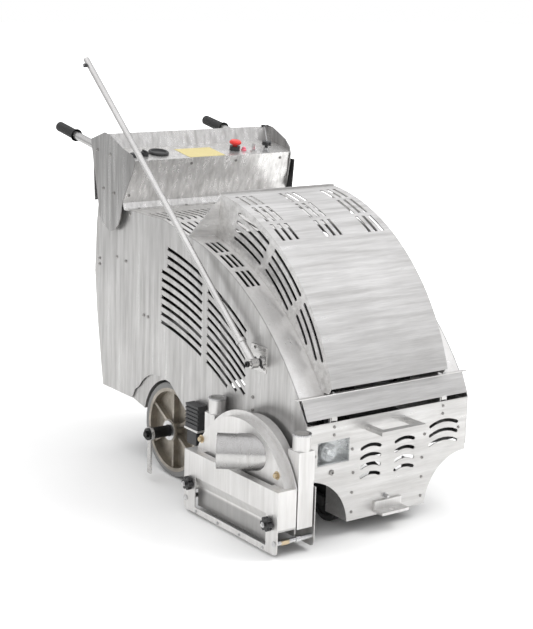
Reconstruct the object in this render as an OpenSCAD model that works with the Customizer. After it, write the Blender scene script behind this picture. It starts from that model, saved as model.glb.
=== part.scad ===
// Walk-behind concrete grinder with a side-mounted grinding head.
//
// Layout frame used by every module: the drive axle is above Y = 0, the machine's
// middle plane is X = 0, the floor is Z = 0, the front is -Y and the operator stands
// at +Y. The grinding head hangs on the -X side. The last lines move the whole
// machine so that the origin is on the floor at the middle of its bounding box.

/* [Body] */
// Overall width of the body over its side panels
body_w = 600; // [560:5:640]
// Thickness of the sheet-metal panels
sheet = 3; // [2:0.5:4]
// Height of the flat top deck
deck_z = 805; // [780:5:830]
// Height of the lower edge of the side panels
skirt_z = 200; // [190:5:215]
// Front face of the body, measured forward from the axle
front_y = 690; // [670:5:700]
// Width of the cooling slots in the side panels and the hood
slot_w = 11; // [6:1:12]
// Width of the slots in the top deck
deck_slot_w = 9; // [5:1:12]

/* [Hood] */
// Width of the raised middle cover
hood_w = 428; // [400:4:440]
// Radius of the cover's curve
hood_r = 655; // [650:1:660]
// Radius of the curved shoulder line along the body
shoulder_r = 864.4; // [862:0.2:867]

/* [Wheels] */
// Outside radius of the drive wheels
wheel_r = 150; // [140:1:155]
// Tread width of the drive wheels
wheel_w = 48; // [40:1:50]
// Outside radius of the front wheels
front_wheel_r = 62.5; // [55:0.5:65]

/* [Grinding head] */
// Radius of the grinding drum
drum_r = 150; // [130:1:155]
// Radius of the rounded guard over the drum
dome_r = 228; // [220:1:232]
// Outside radius of the dust port
port_r = 50; // [40:1:52]
// Radius of the arbor shaft
arbor_r = 20; // [15:1:24]

/* [Controls] */
// Width of the console over its side plates
console_w = 636; // [630:1:640]
// Outside radius of the handlebar tube
bar_r = 13; // [12:0.5:15]
// Outside radius of the rubber grips
grip_r = 16.5; // [15:0.5:18]
// Length of the pointer pole
pole_len = 1195; // [900:5:1200]

/* [Hidden] */
$fn = 64;

// Distance from the layout frame's origin to the middle of the machine's footprint
footprint_mid = [-88, -22];

// Running clearance between a shaft and its bore
run = 0.05;

side_x = body_w / 2;
panel_in = side_x - sheet;
front_top = 343;
axle_z = wheel_r;

// Shoulder line: an arc in the YZ plane that is level at the deck
shoulder_y = 65.6;
shoulder_base = -74.4;
slope_y = [58, -90];
slot_r = 1035.5;
slot_y = 194;
slot_z = -199;
// Hood line: a tighter arc that stands proud of the shoulder
hood_y = -60;
hood_z = 250;
hood_rear = 6;
hood_front = 73.4;
hood_x = hood_w / 2;
deck_front = -98;
fascia_top = [-664, 412];
fascia_low = [-front_y, 357];
bonnet_pin = [-684, 351];

// Grinding head, laid out around the drum
head_y = -504;
drum_z = 160;
dome_z = 105;
head_half = 226;
box_out = -418;
box_in = -361;
box_top = 190;
dome_out = -388;
casing_r = 173;
casing_in = -312;
post_x = [-354, -302];
post_y = 203;
post_half = 25;
post_low = 72;
post_top = 290;
cup_top = 336;
rod_z = 42;
rod_r = 7;
rod_y = 218;
knob_y = 195;
knob_z = 95;
port_angle = 38;
port_mid = [dome_out, -563, 253];
port_len = 98;
socket_x = -318;
socket_y = -175;

// Drive train
bed_z = 205;
pulley_x = -40;
pulley_w = 46;
arbor_pulley_r = 70;
engine_pulley_r = 60;
crank_y = -420;
crank_z = 430;
front_axle_y = -560;
arm_pivot = [-380, 130];
rod_lug_y = -455;
actuator_x = -108;
drum_x = [-380, -324];

// Console: the dash slopes gently forward between two walls
dash_front = [216, 962];
dash_rear = [360, 985];
console_lip = [262, 826];
console_top = [374, 1031];
dash_tilt = atan2(dash_rear[1] - dash_front[1], dash_rear[0] - dash_front[0]);
console_in = console_w / 2 - sheet;
throttle_x = 215;
throttle_back = 21;
key_x = 172;
key_back = 31;
switch_x = -234;
switch_back = 52;
estop_x = 113;
estop_back = 55;
meter_x = -174;
meter_back = 65;
console_bend = -18;
bar_tilt = 9;
bar_x = 293;
bar_origin = [446, 978];

// Pointer pole
pole_x = -332;
pole_pivot = [-478, 479];
pole_lift = 39.6;

// ---------- shared helpers ----------

// Heights of the shoulder line at y, in the YZ plane
function brow_z(y) = shoulder_base + sqrt(shoulder_r * shoulder_r - pow(y - shoulder_y, 2));
function shoulder_z(y) = y > slope_y[0] ? deck_z
    : y < slope_y[1] ? brow_z(y)
    : deck_z + (slope_y[0] - y) / (slope_y[0] - slope_y[1]) * (brow_z(slope_y[1]) - deck_z);

// Points of an arc from angle a0 to a1, both measured from +X of the drawing plane
function arc(cx, cy, r, a0, a1, steps) =
    [for (i = [0 : steps]) let (a = a0 + (a1 - a0) * i / steps) [cx + r * cos(a), cy + r * sin(a)]];

// Closed outline of a slot that follows an arc, with rounded ends
function slot_outline(cx, cy, r, a0, a1, w) =
    let (e0 = [cx + r * cos(a0), cy + r * sin(a0)], e1 = [cx + r * cos(a1), cy + r * sin(a1)])
    concat(
        arc(cx, cy, r + w / 2, a0, a1, 6),
        [for (i = [1 : 3]) [e1[0] + w / 2 * cos(a1 + 45 * i), e1[1] + w / 2 * sin(a1 + 45 * i)]],
        arc(cx, cy, r - w / 2, a1, a0, 6),
        [for (i = [1 : 3]) [e0[0] + w / 2 * cos(a0 + 180 + 45 * i), e0[1] + w / 2 * sin(a0 + 180 + 45 * i)]]
    );

// Drawing (a, b) becomes (Y, Z) and is extruded along X from x0 to x1
module across(x0, x1) {
    translate([x0, 0, 0]) rotate([90, 0, 90]) linear_extrude(x1 - x0) children();
}

// Drawing (a, b) becomes (X, Z) and is extruded along Y from y0 to y1
module along(y0, y1) {
    translate([0, y1, 0]) rotate([90, 0, 0]) linear_extrude(y1 - y0) children();
}

// Round bar along X
module bar_along_x(x0, x1, y, z, r) {
    translate([x0, y, z]) rotate([0, 90, 0]) cylinder(r = r, h = x1 - x0);
}

// Box from corner to corner
module block(low, high) {
    translate(low) cube([high[0] - low[0], high[1] - low[1], high[2] - low[2]]);
}

// Straight slot with round ends, centred, its length along the drawing's x
module slot2d(len, w) {
    square([len - w, w], center = true);
    for (s = [-1, 1]) translate([s * (len - w) / 2, 0]) circle(d = w, $fn = 16);
}

// Both sides of the machine
module both_sides() {
    children();
    mirror([1, 0, 0]) children();
}

// Places a drawing or part on the dash, at x and a distance back from its front edge
module on_dash(x, back) {
    translate([x, dash_front[0] + back * cos(dash_tilt), dash_front[1] + back * sin(dash_tilt)])
        rotate([dash_tilt, 0, 0]) children();
}

// Places a part along the handlebar axis, which rises towards the operator
module on_bar(x, back) {
    translate([x, bar_origin[0] + back * cos(bar_tilt), bar_origin[1] + back * sin(bar_tilt)])
        rotate([bar_tilt - 90, 0, 0]) children();
}

// Places a part along the pole axis, which rises to the rear at rest
module on_pole(back) {
    translate([pole_x, pole_pivot[0] + back * cos(pole_lift), pole_pivot[1] + back * sin(pole_lift)])
        rotate([pole_lift - 90, 0, 0]) children();
}

// Button-head screw with a hexagon socket, its head pointing along +Z
module button_screw(r) {
    difference() {
        union() {
            cylinder(r = r, h = r * 0.35, $fn = 24);
            translate([0, 0, r * 0.35]) cylinder(r1 = r, r2 = r * 0.6, h = r * 0.35, $fn = 24);
        }
        translate([0, 0, r * 0.25]) cylinder(r = r * 0.42, h = r, $fn = 6);
    }
}

// ---------- chassis ----------

module rail_pair() {
    both_sides() block([191, -630, bed_z], [237, 392, bed_z + 50]);
}

module chassis_frame() {
    color("dimgray") difference() {
        union() {
            rail_pair();
            block([-288, -650, bed_z], [288, -612, bed_z + 40]);
            block([-panel_in, -235, bed_z], [panel_in, -195, bed_z + 40]);
            block([-panel_in, 352, bed_z], [panel_in, 392, bed_z + 40]);
            block([-200, -620, bed_z], [200, -235, bed_z + 12]);
            both_sides() {
                block([142, arm_pivot[0] - 32, 104], [152, arm_pivot[0] + 32, bed_z + 1]);
                block([panel_in - 20, 300, bed_z], [panel_in, 352, 780]);
                block([panel_in - 20, -300, bed_z + 40], [panel_in, -268, 690]);
                block([191, -300, bed_z + 40], [panel_in, -268, bed_z + 60]);
                block([panel_in - 20, 352, 740], [panel_in, 392, 780]);
                block([panel_in - 20, -268, 480], [panel_in, 300, 500]);
                block([110, -front_y + sheet, bed_z], [138, -650, bed_z + 40]);
            }
            for (y = [0, 190]) block([-panel_in, y, 480], [panel_in, y + 24, 500]);
            block([-panel_in, 300, 740], [panel_in, 330, 780]);
        }
        block([pulley_x - 36, -592, bed_z - 1], [pulley_x + 36, -340, bed_z + 13]);
        block([actuator_x - 26, rod_lug_y - 28, bed_z - 1], [actuator_x + 26, rod_lug_y + 28, bed_z + 13]);
        both_sides() bar_along_x(140, 154, arm_pivot[0], arm_pivot[1], 10 + run);
    }
}

module engine_block() {
    x0 = 0;
    x1 = 150;
    color("dimgray") {
        difference() {
            union() {
                block([x0, -540, bed_z + 12], [x1, -300, bed_z + 40]);
                bar_along_x(x0, x1, crank_y, crank_z - 20, 112);
                block([x0, -500, bed_z + 30], [x1, -340, crank_z - 60]);
                for (s = [-1, 1]) translate([0, crank_y, crank_z - 20]) rotate([s * 42, 0, 0]) {
                    for (i = [0 : 5]) block([x0 + 12, -46, 112 + i * 13], [x1 - 12, 46, 118 + i * 13]);
                    block([x0 + 24, -34, 60], [x1 - 24, 34, 190]);
                    block([x0 + 16, -42, 186], [x1 - 16, 42, 208]);
                }
            }
            bar_along_x(x0 - 1, x0 + 60, crank_y, crank_z, arbor_r + run);
        }
    }
}

module engine_shroud() {
    color([0.15, 0.15, 0.16]) difference() {
        union() {
            bar_along_x(150, 200, crank_y, crank_z - 20, 128);
            bar_along_x(200, 208, crank_y, crank_z - 20, 92);
        }
        bar_along_x(149, 194, crank_y, crank_z - 20, 122);
        for (a = [0 : 30 : 330]) translate([192, crank_y, crank_z - 20]) rotate([a, 0, 0])
            block([0, 34, -4], [20, 82, 4]);
    }
}

module muffler() {
    color("gray") difference() {
        union() {
            bar_along_x(-60, 150, -210, 620, 52);
            bar_along_x(150, 158, -210, 620, 44);
            bar_along_x(-100, -58, -210, 620, 18);
            translate([75, crank_y, crank_z - 20]) rotate([-42, 0, 0])
                translate([0, 0, 208]) cylinder(r = 16, h = 60);
        }
        bar_along_x(-101, -70, -210, 620, 15);
    }
}

module fuel_tank() {
    color([0.12, 0.12, 0.13]) {
        block([-180, -20, 500], [180, 230, 728]);
        translate([0, 135, 728]) cylinder(r = 42, h = 26);
        translate([0, 135, 754]) cylinder(r = 50, h = 22);
    }
}

module battery() {
    color([0.1, 0.1, 0.1]) {
        block([40, 100, bed_z + 52], [230, 290, bed_z + 210]);
        for (x = [80, 190]) translate([x, 150, bed_z + 210]) cylinder(r = 9, h = 16, $fn = 32);
        block([-200, 60, bed_z + 50], [237, 300, bed_z + 52]);
    }
}

module transaxle() {
    color("dimgray") difference() {
        union() {
            bar_along_x(-70, 70, 0, axle_z, 64);
            bar_along_x(-236, 236, 0, axle_z, 29);
            both_sides() block([196, -34, axle_z], [232, 34, bed_z]);
            block([-60, -30, axle_z], [60, 90, axle_z + 60]);
            bar_along_x(-48, 48, 78, axle_z + 34, 38);
        }
        bar_along_x(-240, 240, 0, axle_z, 15 + run);
    }
}

module depth_actuator() {
    bed_top = bed_z + 12;
    color("silver") difference() {
        union() {
            translate([actuator_x, rod_lug_y, bed_top]) cylinder(r = 24, h = 213);
            block([actuator_x - 30, rod_lug_y - 38, bed_top],
                [actuator_x + 30, rod_lug_y + 38, bed_top + 6]);
        }
        translate([actuator_x, rod_lug_y, bed_top - 1]) cylinder(r = 10 + run, h = 114);
    }
}

// Plunger whose fork holds the lug of the front arm
module actuator_rod() {
    fork_low = arm_pivot[1] - 28;
    color("silver") translate([actuator_x, rod_lug_y, 0]) {
        translate([0, 0, fork_low + 30]) cylinder(r = 10, h = 168);
        block([-14, -13, fork_low + 24], [14, 13, fork_low + 40]);
        for (x = [-14, 8]) block([x, -13, fork_low], [x + 6, 13, fork_low + 26]);
    }
}

// ---------- body panels ----------

// Outline of a side panel in the YZ plane
module side_outline() {
    rear_low = [408, skirt_z];
    polygon(concat(
        [rear_low, [449, 443], [462, 575], [452, 727], [440, deck_z], [slope_y[0], deck_z]],
        [for (i = [0 : 18]) let (y = slope_y[1] - i * (front_y + slope_y[1]) / 18) [y, shoulder_z(y)]],
        [[-front_y, skirt_z], [-118, skirt_z], [-99, 232], [-1, 304]],
        arc(64, 168, 142, 92, 34, 6),
        [[205, 233], [223, skirt_z]]
    ));
}

// Two banks of slots that run parallel to the shoulder line
module side_slots() {
    for (i = [0 : 9]) {
        drop = 102.5 + 26.5 * i;
        rear = i < 3 ? 26 : 57;
        front = i < 8 ? -400 : (i == 8 ? -360 : -312);
        polygon(slot_outline(slot_y, slot_z - drop, slot_r,
            acos((-174 - slot_y) / slot_r), acos((rear - slot_y) / slot_r), slot_w));
        polygon(slot_outline(slot_y, slot_z - drop, slot_r,
            acos((front - slot_y) / slot_r), acos((-196 - slot_y) / slot_r), slot_w));
    }
}

module side_panel() {
    difference() {
        across(panel_in, side_x) side_outline();
        across(panel_in - 1, side_x + 1) side_slots();
    }
}

module side_panel_right() {
    color("silver") mirror([1, 0, 0]) side_panel();
}

module side_panel_left() {
    color("silver") side_panel();
}

module rear_panel() {
    outer = [[408, skirt_z], [449, 443], [462, 575], [452, 727], [440, 811]];
    inner = [for (i = [4 : -1 : 0]) [outer[i][0] - sheet, outer[i][1]]];
    color("silver") difference() {
        across(-panel_in + 0.2, panel_in - 0.2) polygon(concat(outer, inner));
        for (r = [0 : 5], c = [-2 : 2]) translate([c * 84, 470, 520 + r * 26]) rotate([90, 0, 0])
            linear_extrude(60) slot2d(66, slot_w);
    }
}

module top_deck() {
    top = [[250, deck_z], [slope_y[0], deck_z], [deck_front, shoulder_z(deck_front)]];
    low = [for (i = [2 : -1 : 0]) [top[i][0], top[i][1] - sheet]];
    color("silver") difference() {
        union() {
            across(-panel_in + 0.2, panel_in - 0.2) polygon(concat(top, low));
            block([-panel_in + 0.2, 247, deck_z - sheet], [panel_in - 0.2, 300, deck_z]);
        }
        for (x = [-280 : 24 : 280], row = [0, 1]) translate([x, row == 0 ? 102 : -34, deck_z - 45])
            rotate([0, 0, 90]) linear_extrude(60) slot2d(row == 0 ? 128 : 106, deck_slot_w);
    }
}

// Outline of the front panel in the XZ plane: two wheel-arch bites leave a tongue
module front_outline() {
    difference() {
        polygon([
            [-panel_in, front_top], [panel_in, front_top], [panel_in, 41], [-panel_in, 41]
        ]);
        for (s = [-1, 1]) translate([s * panel_in, 30]) circle(r = 152, $fn = 96);
        translate([-panel_in - 1, 20]) square([9, 205]);
    }
}

// One gently arched louvre slot of the given length
module louvre(x, z, len) {
    r = len * 1.15;
    half = asin(len / 2 / r);
    polygon(slot_outline(x, z - r + 4, r, 90 - half, 90 + half, 10));
}

module front_panel() {
    color("silver") difference() {
        union() {
            along(-front_y, -front_y + sheet) front_outline();
            both_sides() block([140, -front_y + sheet, 41], [143, -590, 158]);
            both_sides()
                block([panel_in - 20, -front_y + sheet, 250], [panel_in - 17, -front_y + 30, front_top]);
            for (x = [-204, 204]) {
                for (ear = [-13, 9.5])
                    block([x + ear, -front_y + sheet - 0.5, 336], [x + ear + 3.5, -679, 356]);
                bar_along_x(x - 13, x + 13, bonnet_pin[0], bonnet_pin[1], 2.5);
            }
        }
        along(-front_y - 1, -front_y + sheet + 1) {
            for (z = [168, 196, 224, 252]) {
                louvre(-66, z, 68);
                louvre(60, z, 68);
            }
            for (z = [224, 252, 280]) louvre(209, z, 104);
            translate([-202, 256]) square([112, 68], center = true);
        }
    }
}

module headlight_lamp() {
    color("gainsboro") {
        difference() {
            block([-262, -front_y + sheet, 218], [-142, -652, 294]);
            block([-256, -front_y + sheet - 1, 224], [-148, -657, 288]);
        }
        difference() {
            translate([-205, -656, 252]) rotate([90, 0, 0]) cylinder(r1 = 14, r2 = 27, h = 17);
            translate([-205, -657.5, 252]) rotate([90, 0, 0]) cylinder(r1 = 10, r2 = 25.6, h = 16.5);
        }
        translate([-205, -655, 252]) rotate([90, 0, 0]) cylinder(r = 7, h = 18);
    }
}

module headlight_lens() {
    color([0.85, 0.9, 0.92, 0.4]) block([-257.6, -front_y + 0.4, 222.4], [-146.4, -front_y + 2.6, 289.6]);
}

module lift_handle() {
    z = 313;
    color("silver") {
        block([-88, -front_y - 70, z - 11], [74, -front_y - 50, z]);
        for (x = [-88, 54]) block([x, -front_y - 52, z - 11], [x + 20, -front_y, z]);
    }
}

module tow_bracket() {
    color("silver") difference() {
        union() {
            block([-50, -front_y - 44, 52], [50, -front_y, 60]);
            block([-50, -front_y - 8, 52], [50, -front_y, 84]);
        }
        translate([0, -front_y - 26, 40]) cylinder(r = 8.5, h = 40, $fn = 48);
    }
}

module mudguards() {
    color("silver") both_sides() {
        across(panel_in - 6, panel_in - 3) polygon(concat(
            arc(0, axle_z, 157, 12, 112, 16),
            arc(0, axle_z, 234, 64, 12, 10)
        ));
        across(243, panel_in - 3) polygon(concat(
            arc(0, axle_z, 157, 12, 112, 16),
            arc(0, axle_z, 160, 112, 12, 16)
        ));
    }
}

// ---------- hood ----------

// A band of the hood's curve between two angles from the vertical
module hood_band(r, depth, a0, a1) {
    polygon(concat(
        arc(hood_y, hood_z, r, 90 + a0, 90 + a1, 24),
        arc(hood_y, hood_z, r - depth, 90 + a1, 90 + a0, 24)
    ));
}

// Side wall of the hood: from the curve down to just under the shoulder
module hood_wall() {
    difference() {
        polygon(concat(
            arc(hood_y, hood_z, hood_r - 1, 90.4 + hood_rear, 89.6 + hood_front, 24),
            [[-672, 420], [-650.5, 420]],
            [for (i = [0 : 12]) let (y = -650.5 + i * (650.5 - 106) / 12) [y, shoulder_z(y) - 14]]
        ));
        for (i = [0 : 3]) {
            polygon(slot_outline(hood_y, hood_z, 628 - 25.5 * i, 105.5, 120, slot_w));
            polygon(slot_outline(hood_y, hood_z, 632 - 25.5 * i, 123.5, 138, slot_w));
        }
        polygon(slot_outline(hood_y, hood_z, 634, 141, 156, slot_w));
        polygon(slot_outline(hood_y, hood_z, 608, 141.5, 155, slot_w));
        polygon(slot_outline(hood_y, hood_z, 583, 142, 150, slot_w));
    }
}

// Triangular corner plate that flares from the hood's rear edge out to the shoulder line
module hood_gusset() {
    inner = hood_x - 1.5;
    corners = [
        [inner, -130.5, 895], [inner, -107.5, shoulder_z(-107.5) + 0.8],
        [panel_in - 0.5, -88, shoulder_z(-88) + 0.8]
    ];
    polyhedron(
        points = concat(corners, [for (c = corners) c - [0, sheet, 0]]),
        faces = [[0, 1, 2], [5, 4, 3], [0, 3, 4, 1], [1, 4, 5, 2], [2, 5, 3, 0]]
    );
}

module hood_cover() {
    rows = [[12.5, 35.4], [20.55, 41.7], [28.9, 37.7]];
    color("silver") {
        difference() {
            across(-hood_x, hood_x) {
                hood_band(hood_r, sheet, hood_rear, hood_front);
                // Small upright lip along the rear edge
                translate([hood_y, hood_z]) rotate(hood_rear)
                    translate([-1.5, hood_r - 2]) square([2.5, 7]);
            }
            for (x = [-158, 0, 158], dx = [-25, 0, 25], row = rows)
                translate([x + dx, hood_y, hood_z]) rotate([row[0], 0, 0])
                    block([-slot_w / 2, -row[1], hood_r - 12], [slot_w / 2, row[1], hood_r + 6]);
        }
        both_sides() {
            across(hood_x - sheet, hood_x) hood_wall();
            hood_gusset();
        }
    }
}

module hood_shoulders() {
    rear = acos((deck_front - 1 - shoulder_y) / shoulder_r);
    front = acos((-652 - shoulder_y) / shoulder_r);
    color("silver") both_sides() difference() {
        across(hood_x + 0.3, panel_in - 0.4) polygon(concat(
            arc(shoulder_y, shoulder_base, shoulder_r, rear, front, 20),
            arc(shoulder_y, shoulder_base, shoulder_r - sheet, front, rear, 20)
        ));
        for (x = [238, 257, 276], row = [[-146, -212], [-224, -290], [-304, -370]])
            across(x - slot_w / 2, x + slot_w / 2) polygon([
                [row[0], shoulder_z(row[0]) + 20], [row[1], shoulder_z(row[1]) + 20],
                [row[1], shoulder_z(row[1]) - 20], [row[0], shoulder_z(row[0]) - 20]
            ]);
    }
}

module fascia() {
    top = fascia_top;
    low = fascia_low;
    color("silver") {
        across(-panel_in + 1, panel_in - 1) polygon([
            top, low, [low[0] + 3.6, low[1]],
            [top[0] + 4, top[1] - 3], [top[0] + 12, top[1] - 3], [top[0] + 12, top[1]]
        ]);
        block([-side_x - 14, top[0], top[1]], [side_x + 14, top[0] + 12, top[1] + sheet]);
        for (x = [-204, 204]) difference() {
            union() {
                block([x - 9, low[0] + 0.2, bonnet_pin[1] - 4], [x + 9, low[0] + 3.2, low[1] + 2]);
                bar_along_x(x - 9, x + 9, bonnet_pin[0], bonnet_pin[1], 5);
            }
            bar_along_x(x - 10, x + 10, bonnet_pin[0], bonnet_pin[1], 2.5 + run);
        }
    }
}

// ---------- grinding head ----------

// Two square posts with cup tops, bolted to the body, that the grinding head slides on
module guide_posts() {
    mid_x = (post_x[0] + post_x[1]) / 2;
    color("silver") for (s = [-1, 1]) {
        y = head_y + s * post_y;
        pad = s < 0 ? [y - post_half, y + 67] : [y - 49, y + post_half];
        difference() {
            union() {
                block([post_x[0], y - post_half, post_low], [post_x[1], y + post_half, post_top]);
                translate([mid_x, y, post_top - 2]) cylinder(r = post_half, h = cup_top - post_top + 2);
                block([post_x[1] - 2, pad[0], 205], [-side_x, pad[1], 285]);
            }
            block([post_x[0] + 4, y - post_half + 4, post_low - 1],
                [post_x[1] - 4, y + post_half - 4, post_top - 10]);
            translate([mid_x, y, cup_top - 18]) cylinder(r = 19, h = 20);
        }
    }
}

// Rounded top of the guard in the YZ plane, cut off level with the box
module dome_disc(r) {
    intersection() {
        translate([head_y, dome_z]) circle(r = r, $fn = 128);
        translate([head_y - r, box_top - 4]) square([2 * r, r]);
    }
}

// Arch around the drum in the YZ plane, open underneath
module drum_arch(r, low) {
    intersection() {
        translate([head_y, drum_z]) circle(r = r, $fn = 128);
        translate([head_y - r, drum_z - 1]) square([2 * r, r + 2]);
    }
    translate([head_y - r, low]) square([2 * r, drum_z - low]);
}

// Box, flange and casing before the guard is added
module head_shell(wall) {
    low_y = head_y - head_half;
    high_y = head_y + head_half;
    window = [head_y - 184, head_y + 184];
    block([box_out, low_y, 118], [box_out + wall, high_y, box_top]);
    block([box_out, low_y, 75], [box_out + wall, window[0], 118.5]);
    block([box_out, window[1], 75], [box_out + wall, high_y, 118.5]);
    block([box_out, low_y, box_top - wall], [box_in, high_y, box_top]);
    for (y = [low_y, high_y - wall]) block([box_out, y, 75], [box_in + 1, y + wall, box_top]);
    for (y = [window[0] - 3, window[1]]) block([box_out, y, 75], [box_out + 20, y + 3, 119]);
    along(window[0], window[1]) polygon([
        [box_out, 118], [-402, 86], [-402, 24], [-398, 24], [-398, 87], [box_out + wall, 119.5]
    ]);
    across(box_in, box_in + wall) {
        dome_disc(dome_r + 15);
        translate([low_y, 60]) square([2 * head_half, box_top - 60]);
    }
    across(box_in, casing_in) drum_arch(casing_r, 60);
}

module head_housing() {
    wall = 4;
    color("silver") {
        difference() {
            head_shell(wall);
            // Room for the drum, open at the floor
            across(-397, casing_in - wall) drum_arch(casing_r - wall, 20);
            // Slot for the arbor, so that the head can float
            across(casing_in - wall - 1, casing_in + 1) drum_arch(arbor_r + 5, 50);
            for (s = [-1, 1]) bar_along_x(box_out - 1, box_out + 30, head_y + s * knob_y, knob_z, 11.5);
        }
        difference() {
            across(dome_out, dome_out + wall) dome_disc(dome_r);
            // Opening into the dust port
            intersection() {
                translate(port_mid) rotate([0, 0, -port_angle]) rotate([0, -90, 0])
                    translate([0, 0, -90]) cylinder(r = port_r - 3.5, h = 180, $fn = 96);
                block([dome_out - 1, -900, box_top], [dome_out + wall + 1, 0, 400]);
            }
        }
        across(dome_out, box_in + wall) difference() {
            dome_disc(dome_r);
            translate([head_y, dome_z]) circle(r = dome_r - wall, $fn = 128);
        }
        // Threaded bosses for the star knobs and slide pads for the posts
        for (s = [-1, 1]) {
            difference() {
                bar_along_x(box_out, box_out + 18, head_y + s * knob_y, knob_z, 12);
                bar_along_x(box_out - 1, box_out + 19, head_y + s * knob_y, knob_z, 5 + run);
            }
            block([box_in + wall - 1, head_y + s * post_y - 12, 90],
                [post_x[0] - 0.1, head_y + s * post_y + 12, 180]);
        }
    }
}

module dust_port() {
    color("gainsboro") difference() {
        translate(port_mid) rotate([0, 0, -port_angle]) rotate([0, -90, 0]) difference() {
            union() {
                cylinder(r = port_r, h = port_len, $fn = 128);
                translate([0, 0, -70]) cylinder(r = port_r + 1.5, h = 110, $fn = 128);
            }
            translate([0, 0, -71]) cylinder(r = port_r - 3.5, h = port_len + 72, $fn = 128);
        }
        block([dome_out, -900, 100], [dome_out + 200, -300, 400]);
    }
}

module skirt_outline(low, top) {
    polygon([
        [head_y - 229, top], [head_y + 229, top], [head_y + 229, low + 14], [head_y + 225, low + 4],
        [head_y + 215, low], [head_y - 215, low], [head_y - 225, low + 4], [head_y - 229, low + 14]
    ]);
}

// Outer plate: a window shows the head's recessed panel, slots clear the knob studs
module skirt_outer_plate() {
    color("silver") difference() {
        across(-422, -419) skirt_outline(9, box_top);
        block([-423, head_y - 177, 26], [-418, head_y + 172, 118]);
        for (s = [-1, 1]) {
            y = head_y + s * knob_y;
            for (z = [knob_z - 8, knob_z]) bar_along_x(-423, -418, y, z, 5.2);
            block([-423, y - 5.2, knob_z - 8], [-418, y + 5.2, knob_z]);
            bar_along_x(-423, -418, head_y + s * rod_y, rod_z, 5);
        }
        for (y = [-164, -53, 53, 164]) bar_along_x(-423, -418, head_y + y, 15, 2.5);
    }
}

module skirt_inner_plate() {
    color("silver") difference() {
        across(-296, -293) skirt_outline(12, 185);
        block([-297, head_y - arbor_r - 8, 110], [-292, head_y + arbor_r + 8, 186]);
        for (s = [-1, 1]) bar_along_x(-297, -292, head_y + s * rod_y, rod_z, 5);
    }
}

// Spacer rods between the two skirt plates, with round collars and screw heads
module skirt_rods() {
    color("silver") for (s = [-1, 1]) {
        y = head_y + s * rod_y;
        bar_along_x(-419, -296, y, rod_z, rod_r);
        bar_along_x(-422, -293, y, rod_z, 5);
        bar_along_x(-425, -422, y, rod_z, 8);
        bar_along_x(-293, -290, y, rod_z, 8);
        bar_along_x(-352, -338, y, rod_z, 10);
    }
}

// Six-lobed clamping knob on a stud
module star_knob(y) {
    color([0.12, 0.12, 0.12]) {
        bar_along_x(-440, -423, y, knob_z, 13);
        for (a = [0 : 60 : 300]) bar_along_x(-440, -425, y + 14 * cos(a), knob_z + 14 * sin(a), 6.5);
        bar_along_x(-446, -402, y, knob_z, 5);
    }
}

module star_knob_front() {
    star_knob(head_y - knob_y);
}

module star_knob_rear() {
    star_knob(head_y + knob_y);
}

// Drum of five cutter discs with gullets
module grinding_drum() {
    pitch = (drum_x[1] - drum_x[0] - 7) / 4;
    color("gray") translate([drum_x[0], head_y, drum_z]) rotate([0, 90, 0]) difference() {
        union() {
            cylinder(r = drum_r - 12, h = drum_x[1] - drum_x[0], $fn = 96);
            for (i = [0 : 4]) translate([0, 0, i * pitch]) cylinder(r = drum_r, h = 7, $fn = 96);
        }
        for (a = [0 : 20 : 340]) rotate([0, 0, a])
            translate([drum_r - 20, -3, -1]) cube([30, 6, drum_x[1] - drum_x[0] + 2]);
        translate([0, 0, -1]) cylinder(r = arbor_r, h = 80);
    }
}

module arbor_shaft() {
    color("silver") {
        bar_along_x(drum_x[0] - 12, 44, head_y, drum_z, arbor_r);
        bar_along_x(drum_x[1], drum_x[1] + 5, head_y, drum_z, 55);
        translate([drum_x[0] - 12, head_y, drum_z]) rotate([0, 90, 0]) cylinder(r = 24, h = 12, $fn = 6);
    }
}

module arbor_bearings() {
    color("dimgray") for (x = [-236, 0]) difference() {
        union() {
            bar_along_x(x, x + 40, head_y, drum_z, 42);
            block([x, head_y - 48, drum_z], [x + 40, head_y + 48, bed_z]);
        }
        bar_along_x(x - 1, x + 41, head_y, drum_z, arbor_r + run);
    }
}

// Pulley with three grooves for the drive belts
module grooved_pulley(y, z, r) {
    translate([pulley_x - pulley_w / 2, y, z]) rotate([0, 90, 0]) difference() {
        cylinder(r = r, h = pulley_w, $fn = 96);
        for (i = [0 : 2]) translate([0, 0, 3.8 + i * 14]) difference() {
            cylinder(r = r + 1, h = 10.4, $fn = 96);
            translate([0, 0, -1]) cylinder(r = r - 9, h = 13, $fn = 96);
        }
    }
}

module arbor_pulley() {
    color("dimgray") difference() {
        grooved_pulley(head_y, drum_z, arbor_pulley_r);
        bar_along_x(pulley_x - 40, pulley_x + 40, head_y, drum_z, arbor_r);
    }
}

module engine_pulley() {
    color("dimgray") {
        grooved_pulley(crank_y, crank_z, engine_pulley_r);
        bar_along_x(pulley_x - 30, 58, crank_y, crank_z, arbor_r);
    }
}

// Outline of a belt run around both pulleys at a depth below their rims
module belt_loop(depth) {
    hull() {
        translate([head_y, drum_z]) circle(r = arbor_pulley_r - depth, $fn = 96);
        translate([crank_y, crank_z]) circle(r = engine_pulley_r - depth, $fn = 96);
    }
}

module drive_belt() {
    color([0.08, 0.08, 0.08]) for (i = [-1 : 1])
        across(pulley_x + i * 14 - 5, pulley_x + i * 14 + 5) difference() {
            belt_loop(-0.5);
            belt_loop(8.8);
        }
}

// ---------- wheels ----------

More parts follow.
